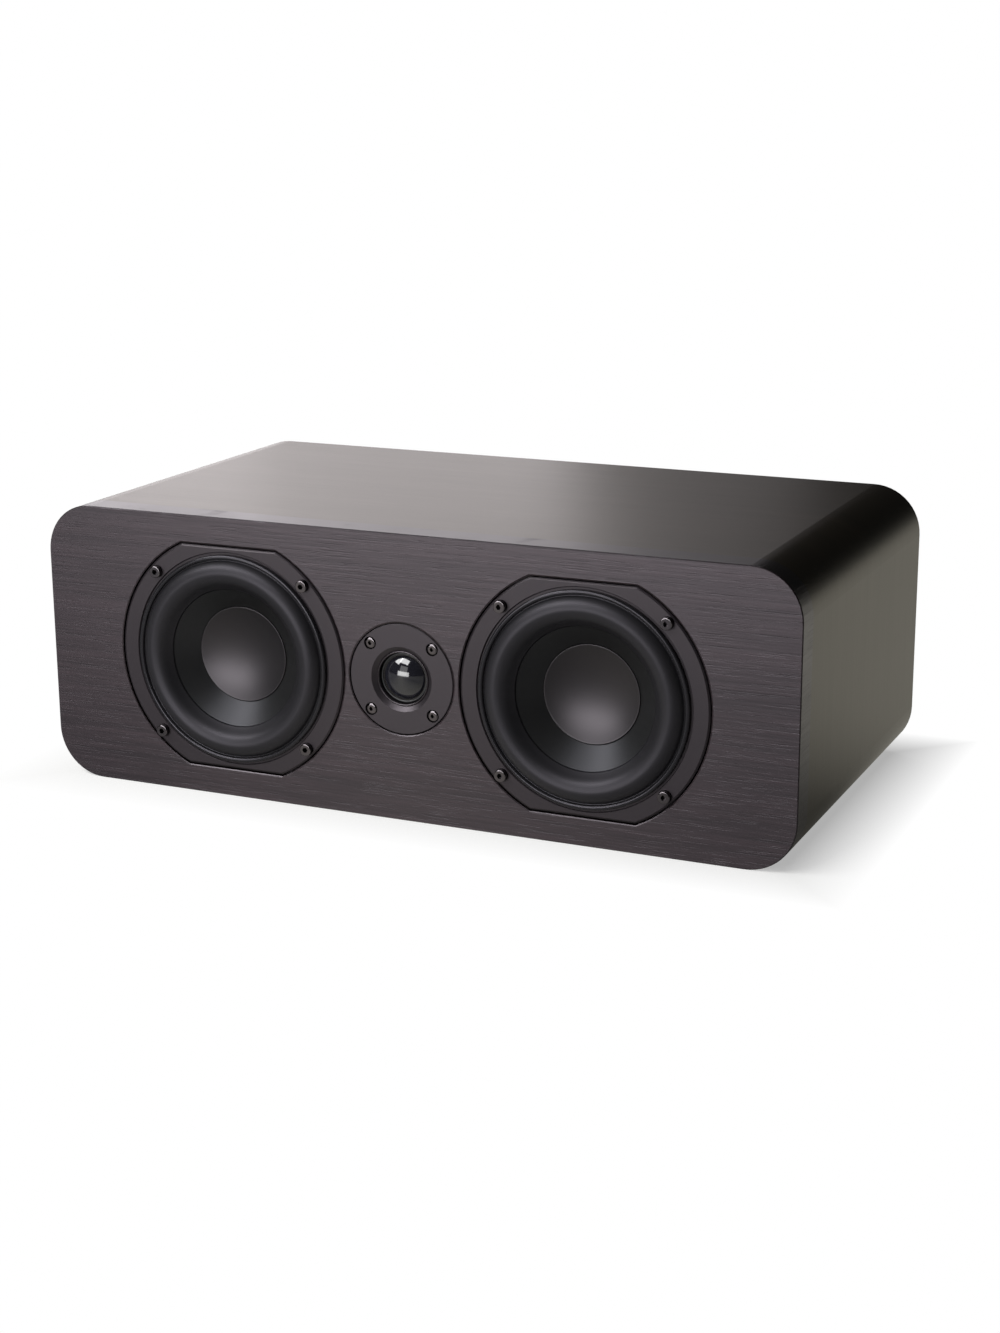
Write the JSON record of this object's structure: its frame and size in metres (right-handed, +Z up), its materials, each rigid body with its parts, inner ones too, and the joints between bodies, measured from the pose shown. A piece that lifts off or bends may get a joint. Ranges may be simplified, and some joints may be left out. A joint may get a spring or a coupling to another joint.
{
  "type": "center channel speaker",
  "caption": "Low wide loudspeaker cabinet with rounded ends, flush woofers either side of a dome tweeter, and screw terminals in a cup at the back.",
  "frame": {"origin": "middle of the cabinet's underside", "axes": "+X along the cabinet to the viewer's right when facing the drivers, +Y from the drivers to the terminals, +Z up"},
  "size_m": [0.47, 0.2526, 0.169],
  "materials": {
    "veneer": "dark stained open-grain veneer, satin lacquer",
    "back_board": "black painted fibreboard",
    "fibreboard": "raw fibreboard",
    "wadding": "white fibre wadding",
    "driver_frame": "fine satin black, moulded",
    "gasket_foam": "black closed-cell foam",
    "surround_rubber": "smooth black rubber with a soft sheen",
    "cone_poly": "black polymer, low sheen",
    "cap_poly": "satin dark grey polymer",
    "coil_wire": "copper-clad aluminium wire on a thin former",
    "spider_cloth": "resin-stiffened corrugated cloth",
    "motor_steel": "plated mild steel",
    "ferrite": "dark grey ferrite",
    "tag_board": "brown laminate with tinned tags",
    "black_screw": "black oxide steel",
    "dome_film": "glossy black coated metal film",
    "cup_plastic": "textured black moulding",
    "plated_brass": "gold-plated brass",
    "red_grip": "clear-coated red plastic",
    "black_grip": "glossy black plastic",
    "board_laminate": "green circuit laminate",
    "copper_winding": "enamelled copper-clad winding",
    "capacitor_sleeve": "shrink sleeve",
    "resistor_body": "white cement body",
    "lead_sleeve": "flexible insulated pair"
  },
  "bodies": {
    "cabinet": {"cabinet_wrap": "veneer", "front_baffle": "veneer", "rear_panel": "back_board", "left_brace": "fibreboard", "right_brace": "fibreboard", "left_wadding": "wadding", "right_wadding": "wadding", "woofer_screws": "black_screw", "tweeter_plate": "driver_frame", "tweeter_gasket": "gasket_foam", "tweeter_surround": "surround_rubber", "tweeter_top_plate": "motor_steel", "tweeter_magnet": "ferrite", "tweeter_yoke": "motor_steel", "tweeter_tag_strip": "tag_board", "tweeter_screws": "black_screw", "terminal_cup": "cup_plastic", "cup_screws": "black_screw", "solder_lugs": "plated_brass", "post_back_nuts": "plated_brass", "crossover_board": "board_laminate", "board_spacers": "cup_plastic", "board_screws": "black_screw", "crossover_inductors": "copper_winding", "crossover_capacitors": "capacitor_sleeve", "tweeter_resistor": "resistor_body", "internal_leads": "lead_sleeve", "left_woofer_basket": "driver_frame", "left_woofer_gasket": "gasket_foam", "left_woofer_surround": "surround_rubber", "left_woofer_spider": "spider_cloth", "left_woofer_top_plate": "motor_steel", "left_woofer_magnet": "ferrite", "left_woofer_yoke": "motor_steel", "left_woofer_tag_strip": "tag_board", "right_woofer_basket": "driver_frame", "right_woofer_gasket": "gasket_foam", "right_woofer_surround": "surround_rubber", "right_woofer_spider": "spider_cloth", "right_woofer_top_plate": "motor_steel", "right_woofer_magnet": "ferrite", "right_woofer_yoke": "motor_steel", "right_woofer_tag_strip": "tag_board", "red_post_stud": "plated_brass", "red_post_collar": "red_grip", "black_post_stud": "plated_brass", "black_post_collar": "black_grip"},
    "left_cone": {"left_woofer_cone": "cone_poly", "left_woofer_dust_cap": "cap_poly", "left_woofer_voice_coil": "coil_wire"},
    "right_cone": {"right_woofer_cone": "cone_poly", "right_woofer_dust_cap": "cap_poly", "right_woofer_voice_coil": "coil_wire"},
    "dome": {"tweeter_dome": "dome_film", "tweeter_voice_coil": "coil_wire"},
    "red_clamp": {"red_post_washer": "plated_brass"},
    "red_nut": {"red_post_nut": "red_grip"},
    "black_clamp": {"black_post_washer": "plated_brass"},
    "black_nut": {"black_post_nut": "black_grip"}
  },
  "joints": [
    {"name": "left_cone_travel", "type": "slide", "parent": "cabinet", "child": "left_cone", "axis": [0, -1, 0], "range_m": [-0.004, 0.004], "stiffness_N_per_m": 1000, "deforming": ["left_woofer_surround", "left_woofer_spider"]},
    {"name": "right_cone_travel", "type": "slide", "parent": "cabinet", "child": "right_cone", "axis": [0, -1, 0], "range_m": [-0.004, 0.004], "stiffness_N_per_m": 1000, "deforming": ["right_woofer_surround", "right_woofer_spider"]},
    {"name": "dome_travel", "type": "slide", "parent": "cabinet", "child": "dome", "axis": [0, -1, 0], "range_m": [-0.0004, 0.0004], "stiffness_N_per_m": 100, "deforming": ["tweeter_surround"]},
    {"name": "red_clamp_rise", "type": "slide", "parent": "cabinet", "child": "red_clamp", "axis": [0, 1, 0], "range_m": [0, 0.005]},
    {"name": "red_nut_turn", "type": "hinge", "parent": "red_clamp", "child": "red_nut", "pos_m": [0.00953, 0.1127, 0.0845], "axis": [0, 1, 0], "range_deg": [0, 1445]},
    {"name": "black_clamp_rise", "type": "slide", "parent": "cabinet", "child": "black_clamp", "axis": [0, 1, 0], "range_m": [0, 0.005]},
    {"name": "black_nut_turn", "type": "hinge", "parent": "black_clamp", "child": "black_nut", "pos_m": [-0.00953, 0.1127, 0.0845], "axis": [0, 1, 0], "range_deg": [0, 1445]}
  ],
  "couplings": [
    {"joint": "red_nut_turn", "follows": "red_clamp_rise", "rad_per_m": 5026.5},
    {"joint": "black_nut_turn", "follows": "black_clamp_rise", "rad_per_m": 5026.5}
  ]
}
